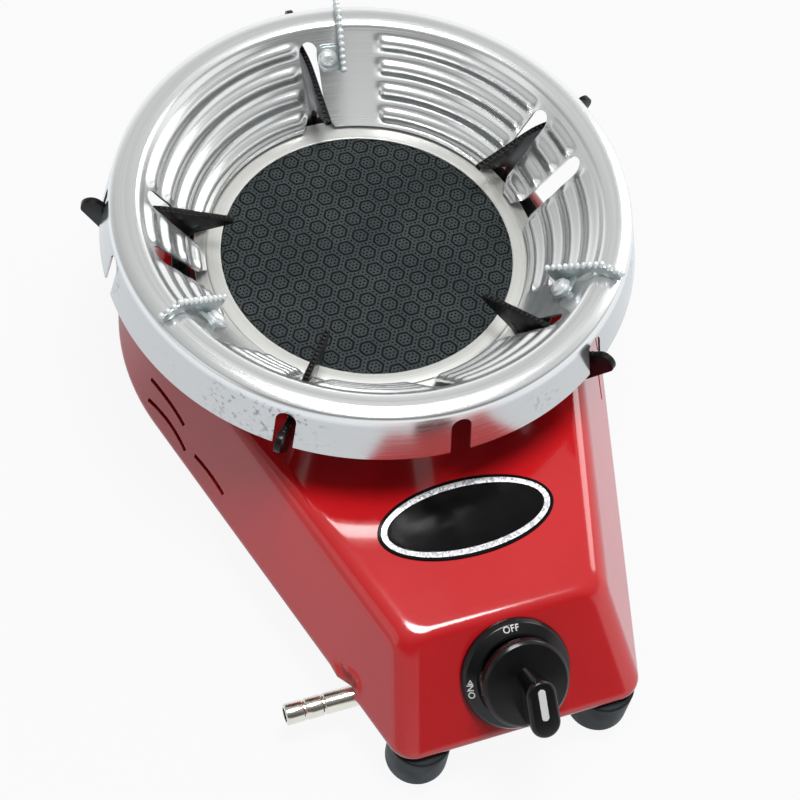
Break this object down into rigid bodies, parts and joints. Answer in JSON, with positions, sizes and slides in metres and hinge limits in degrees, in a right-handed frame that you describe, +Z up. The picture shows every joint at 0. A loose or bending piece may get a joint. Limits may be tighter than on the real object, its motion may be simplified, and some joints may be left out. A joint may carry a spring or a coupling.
{
  "type": "infrared gas stove",
  "caption": "Tabletop infrared gas stove: round ceramic burner plate under a claw pan support and a ribbed wind ring, on a tapered enamelled shell with a slanted knob panel and hose nipple.",
  "frame": {"origin": "centre of the part's box on the ground, below the rubber feet; X = 0 is the middle plane of the shell", "axes": "+Y to the round back, so the slanted knob panel faces -Y; +X to the right as seen from the knob; +Z up"},
  "size_m": [0.2472, 0.37, 0.1251],
  "materials": {
    "red_enamel": "gloss red enamel on pressed sheet",
    "black_film": "gloss black film with a silver border",
    "foot_rubber": "matt dark rubber",
    "zinc_steel": "zinc-plated steel",
    "burner_iron": "grey cast iron",
    "gasket_fibre": "pale ceramic fibre",
    "plate_ceramic": "matt charcoal perforated ceramic",
    "rim_steel": "bright pressed steel",
    "brass": "machined brass",
    "nipple_chrome": "chrome plate",
    "black_plastic": "gloss black moulded plastic",
    "silver_inlay": "silver inlay",
    "black_enamel": "gloss black enamel on cast iron",
    "ring_metal": "bright spun sheet, lightly mottled on the skirt"
  },
  "bodies": {
    "stove": {"body_shell": "red_enamel", "name_plate": "black_film", "foot_front_left": "foot_rubber", "foot_front_right": "foot_rubber", "foot_rear_left": "foot_rubber", "foot_rear_right": "foot_rubber", "foot_screws": "zinc_steel", "foot_nuts": "zinc_steel", "burner_strap": "zinc_steel", "strap_screws": "zinc_steel", "strap_nuts": "zinc_steel", "burner_screws": "zinc_steel", "burner_bowl": "burner_iron", "plate_gasket": "gasket_fibre", "ceramic_plate": "plate_ceramic", "burner_rim": "rim_steel", "mixing_tube": "burner_iron", "injector": "brass", "valve_body": "brass", "valve_cover": "zinc_steel", "valve_screws": "zinc_steel", "inlet_pipe": "nipple_chrome", "inlet_nut": "brass", "knob_bezel": "black_plastic"},
    "plug": {"valve_plug": "brass", "stem_spring": "zinc_steel"},
    "knob": {"knob": "black_plastic", "knob_inlay": "silver_inlay", "valve_stem": "zinc_steel"},
    "shutter": {"air_shutter": "zinc_steel"},
    "pan_support": {"base_ring": "black_enamel", "claw_right": "black_enamel", "claw_rear": "black_enamel", "claw_left": "black_enamel", "claw_front_left": "black_enamel", "claw_front_right": "black_enamel"},
    "wind_ring": {"wind_ring": "ring_metal", "bracket_rear": "zinc_steel", "bracket_left": "zinc_steel", "bracket_right": "zinc_steel", "bracket_screws": "zinc_steel", "bracket_nuts": "zinc_steel"}
  },
  "joints": [
    {"name": "knob_turn", "type": "hinge", "parent": "stove", "child": "plug", "pos_m": [0, -0.14939, 0.0451], "axis": [0, -0.702, 0.7121], "range_deg": [0, 90]},
    {"name": "knob_push", "type": "slide", "parent": "plug", "child": "knob", "axis": [0, 0.702, -0.7121], "range_m": [0, 0.003], "stiffness_N_per_m": 1500, "springref_m": -0.001, "deforming": ["stem_spring"]},
    {"name": "shutter_turn", "type": "hinge", "parent": "stove", "child": "shutter", "pos_m": [0, -0.10659, 0.042], "axis": [0, 1, 0], "range_deg": [0, 60]},
    {"name": "pan_support_lift", "type": "slide", "parent": "stove", "child": "pan_support", "axis": [0, 0, 1], "range_m": [0, 0.06]},
    {"name": "wind_ring_lift", "type": "slide", "parent": "pan_support", "child": "wind_ring", "axis": [0, 0, 1], "range_m": [0, 0.06]}
  ]
}
